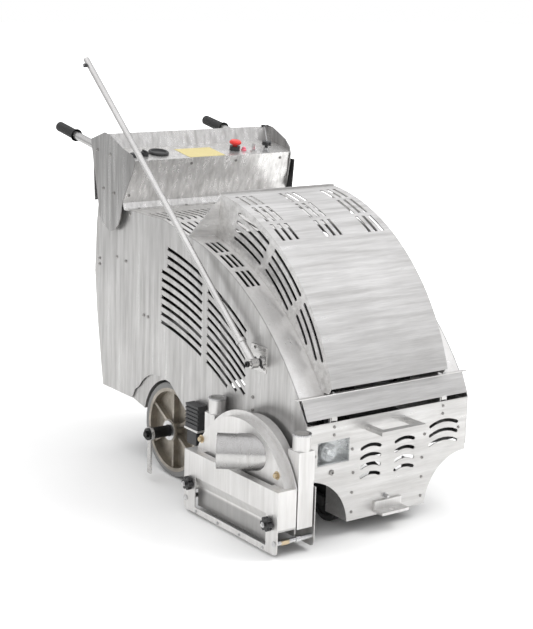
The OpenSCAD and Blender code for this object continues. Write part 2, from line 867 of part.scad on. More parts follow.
module drive_axle() {
    color([0.2, 0.2, 0.21]) {
        bar_along_x(-376, 300, 0, axle_z, 15);
        bar_along_x(-362, -300, 0, axle_z, 17.5);
        bar_along_x(-380, -375.5, 0, axle_z, 19);
        translate([-388, 0, axle_z]) rotate([0, 90, 0]) cylinder(r = 11, h = 9, $fn = 6);
        bar_along_x(300, 306, 0, axle_z, 19);
    }
}

module wheel_rims() {
    outer_x = panel_in - 5;
    inner_x = outer_x - wheel_w;
    color([0.45, 0.4, 0.35]) both_sides() difference() {
        union() {
            difference() {
                bar_along_x(inner_x, outer_x, 0, axle_z, wheel_r - 18);
                bar_along_x(inner_x - 1, outer_x + 1, 0, axle_z, wheel_r - 29);
            }
            bar_along_x(inner_x + 18, inner_x + 24, 0, axle_z, wheel_r - 28);
            bar_along_x(inner_x - 4, side_x, 0, axle_z, 24);
            bar_along_x(side_x - 5, side_x, 0, axle_z, 36);
            for (a = [0 : 60 : 300]) translate([0, 0, axle_z]) rotate([a, 0, 0])
                block([inner_x + 20, -5, 20], [outer_x - 6, 5, wheel_r - 27]);
        }
        bar_along_x(inner_x - 6, side_x + 2, 0, axle_z, 15);
    }
}

module tyres() {
    outer_x = panel_in - 5;
    color([0.45, 0.45, 0.44]) both_sides() translate([outer_x - wheel_w, 0, axle_z]) rotate([0, 90, 0])
        rotate_extrude($fn = 128) polygon([
            [wheel_r - 18, 0], [wheel_r - 4, 0], [wheel_r, 5], [wheel_r, wheel_w - 5],
            [wheel_r - 4, wheel_w], [wheel_r - 18, wheel_w]
        ]);
}

// Trailing arm that carries both front wheels and sets the grinding depth
module front_arm() {
    drop = [arm_pivot[0] - front_axle_y, arm_pivot[1] - front_wheel_r];
    color("dimgray") {
        both_sides() {
            translate([128, arm_pivot[0], arm_pivot[1]]) rotate([atan2(drop[1], drop[0]), 0, 0])
                block([0, -norm(drop), -12], [10, 0, 12]);
            bar_along_x(128, 138, arm_pivot[0], arm_pivot[1], 16);
            bar_along_x(128, 138, front_axle_y, front_wheel_r, 16);
        }
        bar_along_x(-138, 138, arm_pivot[0], arm_pivot[1], 15);
        bar_along_x(-158, 158, arm_pivot[0], arm_pivot[1], 10);
        bar_along_x(-138, 138, front_axle_y, front_wheel_r, 10);
        block([actuator_x - 6, rod_lug_y - 15, 97], [actuator_x + 6, arm_pivot[0], 121]);
    }
}

module front_wheel(x) {
    r = front_wheel_r;
    color([0.12, 0.12, 0.12]) translate([x - 20, front_axle_y, r]) rotate([0, 90, 0]) difference() {
        rotate_extrude($fn = 96) polygon([
            [5, 0], [20, 0], [20, 6], [r - 18, 6], [r - 16, 0], [r - 4, 0], [r, 4],
            [r, 36], [r - 4, 40], [r - 16, 40], [r - 18, 34], [20, 34], [20, 40], [5, 40]
        ]);
        translate([0, 0, -1]) cylinder(r = 10 + run, h = 42);
    }
}

module front_wheel_right() {
    front_wheel(-105);
}

module front_wheel_left() {
    front_wheel(105);
}

// Strap that hangs on the axle end and points at the floor
module rear_pointer() {
    color("silver") difference() {
        union() {
            bar_along_x(-375, -365, 0, axle_z, 22);
            block([-373, -9, 24], [-367, 9, axle_z - 14]);
        }
        bar_along_x(-376, -364, 0, axle_z, 15 + run);
    }
}

// ---------- console and controls ----------

// Folded tray: rear wall, dash, front wall and a strip along the deck
module console_tray() {
    color("silver") {
        difference() {
            across(-console_in, console_in) polygon([
                [236, deck_z + 3], [252, deck_z + 3], console_lip, dash_front, dash_rear, console_top,
                [452, 1004], [440, 812], [437, 812], [448.8, 1002], [375, 1027.6], [363, 982.2],
                [219.6, 959.3], [265.2, 826.3], [254, deck_z], [236, deck_z]
            ]);
            both_sides() {
                on_bar(bar_x, -30) cylinder(r = 18.6, h = 60);
                // The tray stops at the folded part of the side plates
                about_bend() block([console_in, 180, 700], [console_in + 60, 275, 1100]);
            }
            on_dash(throttle_x, throttle_back) translate([0, 0, -8]) cylinder(r = 5 + run, h = 16);
            on_dash(key_x, key_back) translate([0, 0, -8]) cylinder(r = 6 + run, h = 16);
            on_dash(switch_x, switch_back) translate([0, 0, -8]) cylinder(r = 4 + run, h = 16);
        }
        on_dash(key_x, key_back) difference() {
            translate([0, 0, -1]) cylinder(r = 11, h = 4);
            translate([0, 0, -2]) cylinder(r = 6 + run, h = 6);
        }
    }
}

// Turns things about the slanted bend line of the +X console plate
module about_bend() {
    slant = atan2(13, 154);
    translate([console_w / 2, 252, 844]) rotate([-slant, 0, 0]) rotate([0, 0, console_bend])
        rotate([slant, 0, 0]) translate([-console_w / 2, -252, -844]) children();
}

module console_side_plates() {
    color("silver") both_sides() {
        across(console_in, console_w / 2) polygon(concat(
            [[458, 1007], [373, 1036], [338, 1031], [277, 1004], [265.5, 998], [252.5, 844], [260, 832]],
            arc(350, 806, 82, 202, 262, 6),
            [[384, 748], [403, 768], [419, 846], [439, 925]]
        ));
        about_bend() across(console_in, console_w / 2)
            polygon([[266.5, 998.5], [222, 979], [210, 958], [216, 933], [253.5, 843]]);
    }
}

module handle_sockets() {
    color("dimgray") both_sides() difference() {
        union() {
            on_bar(bar_x, -54) cylinder(r = 18, h = 48);
            on_bar(bar_x, -44) block([10, -8, 0], [console_in - bar_x, 8, 28]);
        }
        on_bar(bar_x, -60) cylinder(r = bar_r + run, h = 60);
    }
}

// Both handle tubes and the cross tube that joins them inside the console
module handlebar() {
    color("silver") {
        both_sides() on_bar(bar_x, -186) cylinder(r = bar_r, h = 448);
        on_bar(0, -186) rotate([0, 90, 0]) translate([0, 0, -bar_x]) cylinder(r = 9, h = 2 * bar_x);
    }
}

module grips() {
    color([0.1, 0.1, 0.1]) both_sides() difference() {
        union() {
            on_bar(bar_x, 152) cylinder(r = grip_r, h = 118);
            on_bar(bar_x, 152) cylinder(r = grip_r + 4, h = 5);
        }
        on_bar(bar_x, 150) cylinder(r = bar_r + 0.02, h = 112.1);
    }
}

module estop_base() {
    color("gold") on_dash(estop_x, estop_back) difference() {
        translate([0, 0, 0.05]) cylinder(r = 17, h = 14);
        translate([0, 0, 0.6]) cylinder(r = 8 + run, h = 20);
    }
}

module estop_button() {
    color("red") on_dash(estop_x, estop_back) rotate_extrude()
        polygon([[0, 7], [8, 7], [8, 21], [17, 21], [20, 25], [19, 29], [15, 33], [0, 34]]);
}

module hour_meter() {
    color([0.12, 0.12, 0.12]) on_dash(meter_x, meter_back) rotate_extrude()
        polygon([[0, 0.05], [33, 0.05], [33, 6], [30, 9], [26, 9], [23, 4], [0, 4]]);
}

module throttle_knob() {
    color([0.12, 0.12, 0.12]) on_dash(throttle_x, throttle_back) {
        translate([0, 0, -24]) cylinder(r = 5, h = 48);
        translate([0, 0, 22]) cylinder(r = 12, h = 12);
        for (a = [0 : 60 : 300]) rotate([0, 0, a]) translate([11, 0, 22]) cylinder(r = 5, h = 12, $fn = 32);
    }
}

module key() {
    color("silver") on_dash(key_x, key_back) {
        translate([0, 0, -6]) cylinder(r = 6, h = 11);
        block([-1.2, -9, 5], [1.2, 9, 26]);
    }
}

module light_switch() {
    color([0.12, 0.12, 0.12]) on_dash(switch_x, switch_back) {
        translate([0, 0, -6]) cylinder(r = 4, h = 8);
        translate([0, 0, 0.3]) cylinder(r = 13, h = 11);
        block([-3, -12, 11], [3, 12, 17]);
    }
}

// ---------- cable socket ----------

// Angle on the right-hand panel, between the drive wheel and the head
module socket_bracket() {
    color("silver") difference() {
        union() {
            block([-side_x - 3, socket_y - 36, 202], [-side_x, socket_y + 36, 268]);
            block([socket_x - 18, socket_y - 36, 202], [-side_x, socket_y + 36, 208]);
        }
        translate([socket_x, socket_y, 200]) cylinder(r = 9, h = 10);
    }
}

// Ribbed socket on the angle's shelf, its cable plug underneath
module cable_socket() {
    color("dimgray") {
        difference() {
            block([socket_x - 16, socket_y - 33, 208], [-side_x - 3.2, socket_y + 33, 282]);
            for (z = [222 : 12 : 270])
                block([socket_x - 17, socket_y - 34, z], [socket_x - 13, socket_y + 34, z + 5]);
        }
        translate([socket_x, socket_y, 200]) cylinder(r = 8.5, h = 9);
        block([socket_x - 14, socket_y - 25, 159], [socket_x + 13, socket_y + 25, 201.8]);
    }
}

// ---------- pointer pole ----------

module pole_bracket() {
    y = pole_pivot[0];
    z = pole_pivot[1];
    color("silver") {
        block([-side_x - 2.5, y - 22, z - 29], [-side_x, y + 51, z + 46]);
        bar_along_x(-308, -side_x - 2, y, z, 12);
        bar_along_x(-348, -307, y, z, 6);
    }
}

// Knuckle that turns on the bracket's pin, with a collar where the tube enters
module pole_clamp() {
    color("silver") difference() {
        union() {
            bar_along_x(pole_x - 11, pole_x + 13, pole_pivot[0], pole_pivot[1], 14);
            on_pole(6) cylinder(r = 12.5, h = 74);
            on_pole(72) cylinder(r = 15, h = 12);
        }
        bar_along_x(pole_x - 20, pole_x + 14, pole_pivot[0], pole_pivot[1], 6 + run);
        on_pole(28) cylinder(r = 9.5, h = 70);
    }
}

// Long tube with a cross pin near its tip for the small roller
module pole_tube() {
    color("silver") {
        on_pole(28) cylinder(r = 9.5, h = pole_len);
        on_pole(pole_len) rotate([0, 90, 0]) translate([0, 0, -21]) cylinder(r = 3, h = 21);
    }
}

module pole_wheel() {
    color([0.1, 0.1, 0.1]) on_pole(pole_len) rotate([0, 90, 0]) difference() {
        translate([0, 0, -20.5]) cylinder(r = 6.5, h = 9);
        translate([0, 0, -22]) cylinder(r = 3 + run, h = 12);
    }
}

// Wing nut on the bracket's pin, between the bracket and the knuckle
module wing_knob() {
    color([0.12, 0.12, 0.12]) translate([-317, pole_pivot[0], pole_pivot[1]]) difference() {
        union() {
            rotate([0, 90, 0]) cylinder(r = 10, h = 8);
            rotate([30, 0, 0]) for (s = [-1, 1]) block([2, s > 0 ? 6 : -22, -3], [7, s > 0 ? 22 : -6, 3]);
        }
        translate([-1, 0, 0]) rotate([0, 90, 0]) cylinder(r = 6 + run, h = 12);
    }
}

// ---------- fasteners ----------

module panel_screws() {
    color("gray") {
        both_sides() {
            for (p = [[244, 792], [322, 643], [266, 639], [430, 621], [430, 602], [155, 486], [131, 485],
                      [-438, 367], [-438, 329], [-640, 305]])
                translate([side_x, p[0], p[1]]) rotate([0, 90, 0]) button_screw(5);
            for (p = [[417, 977], [338, 970], [378, 858], [312, 851]])
                translate([console_w / 2, p[0], p[1]]) rotate([0, 90, 0]) button_screw(5);
            for (p = [[202, 329], [202, 306], [267, 254], [135, 254], [129, 184], [130, 125], [130, 67]])
                translate([p[0], -front_y, p[1]]) rotate([90, 0, 0]) button_screw(4.5);
        }
        translate([-207, -front_y, 198]) rotate([90, 0, 0]) button_screw(8);
    }
}

// Moves the layout so that the origin is at the middle of the machine's footprint
module placed() {
    translate([-footprint_mid[0], -footprint_mid[1], 0]) children();
}

placed() chassis_frame();
placed() side_panel_right();
placed() side_panel_left();
placed() rear_panel();
placed() top_deck();
placed() front_panel();
placed() headlight_lamp();
placed() headlight_lens();
placed() lift_handle();
placed() tow_bracket();
placed() console_tray();
placed() console_side_plates();
placed() handle_sockets();
placed() guide_posts();
placed() mudguards();
placed() engine_block();
placed() engine_shroud();
placed() muffler();
placed() fuel_tank();
placed() battery();
placed() arbor_bearings();
placed() transaxle();
placed() drive_belt();
placed() estop_base();
placed() hour_meter();
placed() pole_bracket();
placed() socket_bracket();
placed() cable_socket();
placed() panel_screws();
placed() depth_actuator();
placed() hood_cover();
placed() hood_shoulders();
placed() fascia();
placed() engine_pulley();
placed() arbor_shaft();
placed() arbor_pulley();
placed() grinding_drum();
placed() drive_axle();
placed() wheel_rims();
placed() tyres();
placed() front_arm();
placed() front_wheel_right();
placed() front_wheel_left();
placed() actuator_rod();
placed() head_housing();
placed() dust_port();
placed() skirt_outer_plate();
placed() skirt_inner_plate();
placed() skirt_rods();
placed() star_knob_front();
placed() star_knob_rear();
placed() pole_clamp();
placed() pole_tube();
placed() pole_wheel();
placed() wing_knob();
placed() handlebar();
placed() grips();
placed() estop_button();
placed() throttle_knob();
placed() key();
placed() light_switch();
placed() rear_pointer();
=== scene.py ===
"""Looks of a walk-behind concrete grinder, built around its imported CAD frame.

Lengths are in millimetres in the layout frame of the machine: the drive axle is at X 0, Y 0,
the floor is Z 0, the front is -Y and the grinding head is on the -X side. at() turns such a
point into metres in the shared frame.
"""
import math

import bmesh
import bpy
from mathutils import Matrix, Vector


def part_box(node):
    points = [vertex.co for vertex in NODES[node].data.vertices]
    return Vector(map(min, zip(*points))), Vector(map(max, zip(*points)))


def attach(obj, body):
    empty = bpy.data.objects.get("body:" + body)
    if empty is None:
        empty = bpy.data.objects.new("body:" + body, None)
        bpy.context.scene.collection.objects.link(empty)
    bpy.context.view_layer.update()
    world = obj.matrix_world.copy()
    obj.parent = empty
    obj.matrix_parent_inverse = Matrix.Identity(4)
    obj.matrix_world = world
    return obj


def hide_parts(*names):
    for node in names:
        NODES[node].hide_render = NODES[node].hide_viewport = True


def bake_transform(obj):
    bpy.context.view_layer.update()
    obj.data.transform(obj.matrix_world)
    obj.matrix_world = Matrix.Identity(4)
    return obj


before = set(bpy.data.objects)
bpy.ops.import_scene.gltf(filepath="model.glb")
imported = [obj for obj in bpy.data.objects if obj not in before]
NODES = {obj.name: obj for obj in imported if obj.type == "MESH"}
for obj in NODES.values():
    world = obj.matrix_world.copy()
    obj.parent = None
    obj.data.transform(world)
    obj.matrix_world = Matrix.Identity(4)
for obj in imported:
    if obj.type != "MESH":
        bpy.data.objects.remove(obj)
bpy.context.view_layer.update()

MM = 0.001


def middle(node):
    low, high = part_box(node)
    return (low + high) / 2


AXLE = middle("tyres")


def at(x, y, z):
    """A layout point in millimetres as a point of the shared frame in metres."""
    return Vector((AXLE.x + x * MM, AXLE.y + y * MM, z * MM))


# Places on the machine, in layout millimetres
FRONT_Y = -690
SIDE_X = -300
DECK_STRIP = (243, 808)
HEAD_Y = -504
POST_X = -328
POST_SPAN = 203
POST_TOP = 336
DOME_X = -388
SKIRT_X = -422
POLE_PIVOT = (-478, 479)
POLE_PIN_END = -348
HANDLE_X = 293
HANDLE_FOOT = (446, 978)
GRIP_START = 152

# Outline of the console from its front foot over the dash to its rear wall, as (Y, Z)
WALL_FOOT = (262, 826)
DASH_FRONT = (216, 962)
DASH_REAR = (360, 985)
WALL_TOP = (374, 1031)
CONSOLE_END = 318.5

UP = Vector((0, 0, 1))
RIGHT = Vector((-1, 0, 0))
FORWARD = Vector((0, -1, 0))


# ---------------------------------------------------------------- materials


class Nodes:
    """Short way to build a procedural material."""

    def __init__(self, name):
        self.material = bpy.data.materials.new(name)
        self.material.use_nodes = True
        self.tree = self.material.node_tree
        self.shader = self.tree.nodes["Principled BSDF"]
        self.coords = self.tree.nodes.new("ShaderNodeTexCoord").outputs["Object"]

    def link(self, a, b):
        self.tree.links.new(a, b)

    def noise(self, scale, stretch=(1, 1, 1), detail=3.0, rough=0.5):
        mapping = self.tree.nodes.new("ShaderNodeMapping")
        mapping.inputs["Scale"].default_value = stretch
        self.link(self.coords, mapping.inputs["Vector"])
        node = self.tree.nodes.new("ShaderNodeTexNoise")
        node.inputs["Scale"].default_value = scale
        node.inputs["Detail"].default_value = detail
        node.inputs["Roughness"].default_value = rough
        self.link(mapping.outputs["Vector"], node.inputs["Vector"])
        return node.outputs["Fac"]

    def ramp(self, factor, low, high, start=0.3, end=0.7):
        node = self.tree.nodes.new("ShaderNodeValToRGB")
        node.color_ramp.elements[0].position = start
        node.color_ramp.elements[0].color = (*low, 1)
        node.color_ramp.elements[1].position = end
        node.color_ramp.elements[1].color = (*high, 1)
        self.link(factor, node.inputs["Fac"])
        return node.outputs["Color"]

    def spread(self, factor, low, high):
        node = self.tree.nodes.new("ShaderNodeMapRange")
        node.inputs["From Min"].default_value = 0.3
        node.inputs["From Max"].default_value = 0.7
        node.inputs["To Min"].default_value = low
        node.inputs["To Max"].default_value = high
        self.link(factor, node.inputs["Value"])
        return node.outputs["Result"]

    def height(self):
        parts = self.tree.nodes.new("ShaderNodeSeparateXYZ")
        self.link(self.coords, parts.inputs["Vector"])
        return parts.outputs["Z"]

    def facing(self):
        """0 where a surface faces the eye, 1 at its outline."""
        return self.tree.nodes.new("ShaderNodeLayerWeight").outputs["Facing"]

    def mix(self, a, b, blend="MULTIPLY", factor=None):
        """Two colours multiplied, or chosen between by a factor."""
        node = self.tree.nodes.new("ShaderNodeMix")
        node.data_type = "RGBA"
        node.blend_type = blend
        node.inputs["Factor"].default_value = 1.0
        if factor is not None:
            self.link(factor, node.inputs["Factor"])
        self.link(a, node.inputs["A"])
        self.link(b, node.inputs["B"])
        return node.outputs["Result"]

    def for_camera(self):
        """1 where the camera looks at the surface directly, 0 for light and reflections."""
        return self.tree.nodes.new("ShaderNodeLightPath").outputs["Is Camera Ray"]

    def bump(self, factor, strength, distance=0.0004, rounding=0.0009):
        """Surface relief over edges that catch the light like slightly rounded ones."""
        edges = self.tree.nodes.new("ShaderNodeBevel")
        edges.samples = 4
        edges.inputs["Radius"].default_value = rounding
        node = self.tree.nodes.new("ShaderNodeBump")
        node.inputs["Strength"].default_value = strength
        node.inputs["Distance"].default_value = distance
        self.link(factor, node.inputs["Height"])
        self.link(edges.outputs["Normal"], node.inputs["Normal"])
        self.link(node.outputs["Normal"], self.shader.inputs["Normal"])

    def set(self, **values):
        for name, value in values.items():
            self.shader.inputs[name.replace("_", " ")].default_value = value


def grey(v, warm=0.0):
    return (v, v * (1 - warm * 0.4), v * (1 - warm))


def brushed(name, along, tone=0.80, rough=0.34, streak=0.10, fine=0.12, rim=1.0, painted_shade_height=None):
    """Bare metal with sanding marks along one axis and a cloudy tone.

    rim, below 1, darkens faces turned away from the eye towards that factor, as painted shade along the
    outlines; the last argument is a height in metres below which the colour is darkened, as painted
    shade.
    """
    m = Nodes(name)
    long_way = {"x": (0.03, 1, 1), "y": (1, 0.03, 1), "z": (1, 1, 0.03)}[along]
    band_way = {"x": (0.06, 1, 1), "y": (1, 0.06, 1), "z": (1, 1, 0.06)}[along]
    hairs = m.noise(900, long_way, detail=2)
    bands = m.noise(60, band_way, detail=3, rough=0.6)
    clouds = m.noise(7, detail=4)
    hair_tone = m.ramp(hairs, grey(1 - fine), grey(1.0))
    band_tone = m.ramp(bands, grey(tone - streak, 0.04), grey(tone + streak * 0.6, 0.025))
    cloud_tone = m.ramp(clouds, grey(0.90), grey(1.0))
    colour = m.mix(m.mix(band_tone, hair_tone), cloud_tone)
    # Painted shade: darker towards the outlines as seen from the eye.
    if rim < 1:
        colour = m.mix(colour, m.ramp(m.facing(), grey(1.0), grey(rim), 0.15, 0.8))
    # Painted shade: darker below the given height, in place of shade in a recess.
    if painted_shade_height:
        colour = m.mix(colour, m.ramp(m.height(), grey(0.55), grey(1.0), painted_shade_height - 0.006, painted_shade_height))
    m.link(colour, m.shader.inputs["Base Color"])
    m.link(m.spread(bands, rough + 0.07, rough - 0.07), m.shader.inputs["Roughness"])
    m.bump(hairs, 0.22)
    m.set(Metallic=0.82)
    return m.material


def cast(name, tone, warm=0.0, rough=0.5, metallic=1.0, grain=0.25):
    """Cast or machined metal with a fine grain and darker patches."""
    m = Nodes(name)
    patches = m.noise(22, detail=5, rough=0.65)
    speckle = m.noise(420, detail=2)
    base = m.ramp(patches, grey(tone * 0.72, warm), grey(tone * 1.12, warm))
    spots = m.ramp(speckle, grey(0.82), grey(1.0))
    m.link(m.mix(base, spots), m.shader.inputs["Base Color"])
    m.link(m.spread(patches, rough + 0.12, rough - 0.08), m.shader.inputs["Roughness"])
    m.bump(speckle, grain)
    m.set(Metallic=metallic)
    return m.material


def moulded(name, colour, rough=0.45, grain=0.15, dust=0.35):
    """Plastic or rubber with a fine grain and a little dust."""
    m = Nodes(name)
    patches = m.noise(16, detail=5)
    speckle = m.noise(700, detail=2)
    dusty = tuple(c + (0.35 - c) * 0.12 * dust for c in colour)
    m.link(m.ramp(patches, colour, dusty), m.shader.inputs["Base Color"])
    m.link(m.spread(patches, rough - 0.05, rough + 0.12), m.shader.inputs["Roughness"])
    m.bump(speckle, grain)
    return m.material


def clear(name, tint, rough=0.06):
    """Clear plastic with a faint haze."""
    m = Nodes(name)
    haze = m.noise(9, detail=4)
    m.link(m.ramp(haze, tint, tuple(min(1, c * 1.04) for c in tint)), m.shader.inputs["Base Color"])
    m.link(m.spread(haze, rough, rough + 0.06), m.shader.inputs["Roughness"])
    m.set(Transmission_Weight=0.92, IOR=1.2, Alpha=0.4)
    return m.material


SIDE = brushed("sheet_side", "z", tone=0.52, streak=0.10)
PLATE = brushed("sheet_plate", "z", tone=0.41, rough=0.30, streak=0.14)
HOOD = brushed("sheet_hood", "x", tone=0.70, streak=0.14)
# The hood shoulders are the hood's sheet made brighter, as painted light for the light that falls on
# them.
SHOULDER_PAINTED_LIGHT = brushed("sheet_shoulder_painted_light", "y", tone=0.92, streak=0.05)
DECK = brushed("sheet_deck", "y", tone=0.92, streak=0.06)
FRONT = brushed("sheet_front", "x", tone=0.62, streak=0.07)
CONSOLE = brushed("sheet_console", "z", tone=0.76, rough=0.30, streak=0.20)
GUARD = brushed("galvanised", "z", tone=0.74, rough=0.42, streak=0.06, fine=0.05)
# The head housing is darkened below 82 mm as painted shade, standing in for a shaded recess seen through
# the skirt's window.
HOUSING = brushed("galvanised_box", "z", tone=0.76, rough=0.42, streak=0.05, fine=0.05, painted_shade_height=0.082)
INNER = brushed("galvanised_inner", "z", tone=0.60, rough=0.45, streak=0.06, fine=0.05)
# The pole, handle bar and dust port metals below are darkened towards their outlines as painted shade.
SATIN = brushed("satin_bar", "y", tone=0.80, rough=0.26, streak=0.04, fine=0.05, rim=0.38)
TURNED = brushed("turned_port", "z", tone=0.54, rough=0.24, streak=0.05, fine=0.06, rim=0.45)
BRIGHT = cast("bright_steel", 0.70, rough=0.28, grain=0.05)
SCREW = cast("dull_screw", 0.42, warm=0.06, rough=0.35, grain=0.1)
DARK_STEEL = cast("black_oxide", 0.05, rough=0.42, grain=0.1)
CHASSIS = cast("powder_coat", 0.045, rough=0.5, metallic=0.0)
ENGINE = cast("cast_engine", 0.20, rough=0.55)
RIM = cast("cast_rim", 0.44, warm=0.20, rough=0.50)
CUTTER = cast("worn_cutter", 0.30, warm=0.08, rough=0.5)
BRASS = cast("brass", 0.72, warm=0.45, rough=0.35, grain=0.05)
BLACK = moulded("black_plastic", (0.018, 0.018, 0.019), rough=0.4)
RUBBER = moulded("black_rubber", (0.022, 0.022, 0.022), rough=0.65, grain=0.4)
TYRE = moulded("grey_tyre", (0.18, 0.18, 0.176), rough=0.75, grain=0.4, dust=0.9)
RED = moulded("red_plastic", (0.62, 0.02, 0.012), rough=0.3, grain=0.03)
PINK = moulded("pink_lens", (0.85, 0.18, 0.25), rough=0.2, grain=0.02)
LABEL = moulded("pale_label", (0.47, 0.40, 0.18), rough=0.5, grain=0.04)
LENS = clear("clear_lens", (0.92, 0.96, 0.97))

LOOKS = {
    SIDE: ["side_panel_right", "side_panel_left", "rear_panel", "mudguards"],
    HOOD: ["hood_cover", "fascia"],
    SHOULDER_PAINTED_LIGHT: ["hood_shoulders"],
    DECK: ["top_deck"],
    FRONT: ["front_panel", "lift_handle"],
    CONSOLE: ["console_tray"],
    PLATE: ["console_side_plates"],
    HOUSING: ["head_housing"],
    GUARD: ["skirt_outer_plate", "guide_posts", "tow_bracket", "socket_bracket"],
    INNER: ["skirt_inner_plate"],
    TURNED: ["dust_port"],
    SATIN: ["pole_tube", "pole_clamp", "pole_bracket", "handlebar", "rear_pointer"],
    BRIGHT: ["skirt_rods", "arbor_shaft", "actuator_rod", "key", "headlight_lamp",
             "depth_actuator"],
    SCREW: ["panel_screws"],
    DARK_STEEL: ["drive_axle", "handle_sockets", "muffler"],
    CHASSIS: ["chassis_frame", "front_arm", "arbor_bearings"],
    ENGINE: ["engine_block", "transaxle", "arbor_pulley", "engine_pulley"],
    RIM: ["wheel_rims"],
    CUTTER: ["grinding_drum"],
    BLACK: ["cable_socket", "engine_shroud", "fuel_tank", "battery", "hour_meter", "throttle_knob",
            "light_switch", "star_knob_front", "star_knob_rear", "wing_knob", "pole_wheel", "estop_base"],
    RUBBER: ["grips", "drive_belt", "front_wheel_right", "front_wheel_left"],
    TYRE: ["tyres"],
    RED: ["estop_button"],
    LENS: ["headlight_lens"],
}


def dress_frame():
    """Gives every CAD node its material."""
    for look, nodes in LOOKS.items():
        for node in nodes:
            slots = NODES[node].data.materials
            slots.clear()
            slots.append(look)


# ---------------------------------------------------------------- mesh pieces


def piece(name, mesh, look, smooth=True):
    """Links a finished mesh as a named piece."""
    data = bpy.data.meshes.new(name)
    mesh.normal_update()
    mesh.to_mesh(data)
    mesh.free()
    data.materials.append(look)
    obj = bpy.data.objects.new(name, data)
    bpy.context.scene.collection.objects.link(obj)
    if smooth:
        for polygon in data.polygons:
            polygon.use_smooth = True
        data.set_sharp_from_angle(angle=math.radians(35))
    return obj


def make(name, mesh, look, body, smooth=True):
    """Links a finished mesh as a named piece that rides on a CAD body."""
    obj = piece(name, mesh, look, smooth)
    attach(obj, body)
    return obj


def frame_along(direction, hint=(0, 0, 1)):
    """Rotation whose Z is the direction."""
    z = Vector(direction).normalized()
    x = Vector(hint).cross(z)
    if x.length < 1e-4:
        x = Vector((1, 0, 0)).cross(z)
    x.normalize()
    return Matrix((x, z.cross(x), z)).transposed()


def lathe_into(mesh, profile, origin, direction, steps=48):
    """Adds a closed turned shape: profile points are (radius, distance along) in millimetres."""
    turn = frame_along(direction)
    rings = []
    for radius, along in profile:
        count = 1 if radius < 1e-6 else steps
        ring = []
        for i in range(count):
            a = 2 * math.pi * i / steps
            local = Vector((radius * math.cos(a), radius * math.sin(a), along)) * MM
            ring.append(mesh.verts.new(origin + turn @ local))
        rings.append(ring)
    for low, high in zip(rings, rings[1:]):
        for i in range(steps):
            j = (i + 1) % steps
            if len(low) == 1 and len(high) == 1:
                continue
            if len(low) == 1:
                mesh.faces.new((low[0], high[j], high[i]))
            elif len(high) == 1:
                mesh.faces.new((low[i], low[j], high[0]))
            else:
                mesh.faces.new((low[i], low[j], high[j], high[i]))


def lathe(name, profile, origin, direction, look, body, steps=48):
    """One turned piece."""
    mesh = bmesh.new()
    lathe_into(mesh, profile, origin, direction, steps)
    return make(name, mesh, look, body)


def box_into(mesh, low, high, bevel=0.6):
    """Adds a box between two layout points, its edges rounded."""
    a, b = at(*low), at(*high)
    part = bmesh.new()
    bmesh.ops.create_cube(part, size=1)
    for v in part.verts:
        v.co = Vector(((a[i] + b[i]) / 2 + v.co[i] * (b[i] - a[i]) for i in range(3)))
    edges = list(part.edges)
    bmesh.ops.bevel(part, geom=edges, offset=bevel * MM, segments=2, profile=0.5, affect="EDGES")
    copy_into(mesh, part)


def copy_into(mesh, part):
    """Moves everything in one mesh into another."""
    table = {v: mesh.verts.new(v.co) for v in part.verts}
    for face in part.faces:
        mesh.faces.new([table[v] for v in face.verts])
    part.free()


def sweep_into(mesh, points, radius, steps=12):
    """Adds a round cord through the points, given in metres."""
    rings = []
    for i, point in enumerate(points):
        ahead = points[min(i + 1, len(points) - 1)] - points[max(i - 1, 0)]
        turn = frame_along(ahead, hint=(1, 0.2, 0.1))
        ring = []
        for k in range(steps):
            a = 2 * math.pi * k / steps
            spoke = turn @ Vector((math.cos(a), math.sin(a), 0))
            ring.append(mesh.verts.new(point + spoke * radius * MM))
        rings.append(ring)
    for low, high in zip(rings, rings[1:]):
        for k in range(steps):
            j = (k + 1) % steps
            mesh.faces.new((low[k], low[j], high[j], high[k]))
    mesh.faces.new(list(reversed(rings[0])))
    mesh.faces.new(rings[-1])


def bezier(a, b, c, d, steps):
    """Points on a cubic curve from a to d."""
    out = []
    for i in range(steps + 1):
        t = i / steps
        s = 1 - t
        out.append(a * s ** 3 + b * 3 * s * s * t + c * 3 * s * t * t + d * t ** 3)
    return out


def sheet_into(mesh, corners, normal, thickness):
    """Adds a thin flat sheet on the given corners."""
    low = [mesh.verts.new(c) for c in corners]
    high = [mesh.verts.new(c + normal * thickness * MM) for c in corners]
    mesh.faces.new(list(reversed(low)))
    mesh.faces.new(high)
    for i in range(len(corners)):
        j = (i + 1) % len(corners)
        mesh.faces.new((low[i], low[j], high[j], high[i]))


def hex_bolt_into(mesh, origin, direction, radius, height):
    """Adds a hexagon head on a round washer."""
    washer = 1.2
    rim = radius * 1.5
    lathe_into(mesh, [(0, 0), (rim, 0), (rim, washer), (0, washer)], origin, direction, 24)
    seat = origin + Vector(direction).normalized() * washer * MM
    head = [(0, 0), (radius, 0), (radius, height * 0.8), (radius * 0.8, height), (0, height)]
    lathe_into(mesh, head, seat, direction, 6)


def button_screw_into(mesh, origin, direction, radius):
    """Adds a domed screw head with a socket."""
    shape = [(0, 0), (1, 0), (0.92, 0.3), (0.55, 0.5), (0.42, 0.5), (0.42, 0.1), (0, 0.1)]
    lathe_into(mesh, [(radius * r, radius * h) for r, h in shape], origin, direction, 20)


# ---------------------------------------------------------------- console

DASH_TILT = math.atan2(DASH_REAR[1] - DASH_FRONT[1], DASH_REAR[0] - DASH_FRONT[0])
DASH_UP = Vector((0, -math.sin(DASH_TILT), math.cos(DASH_TILT)))
THROTTLE = (215, 21)


def on_dash(x, back, lift=0.0):
    """A point on the sloping dash, back from its front edge and lifted off its face."""
    y = DASH_FRONT[0] + back * math.cos(DASH_TILT)
    z = DASH_FRONT[1] + back * math.sin(DASH_TILT)
    return at(x, y, z) + DASH_UP * lift * MM


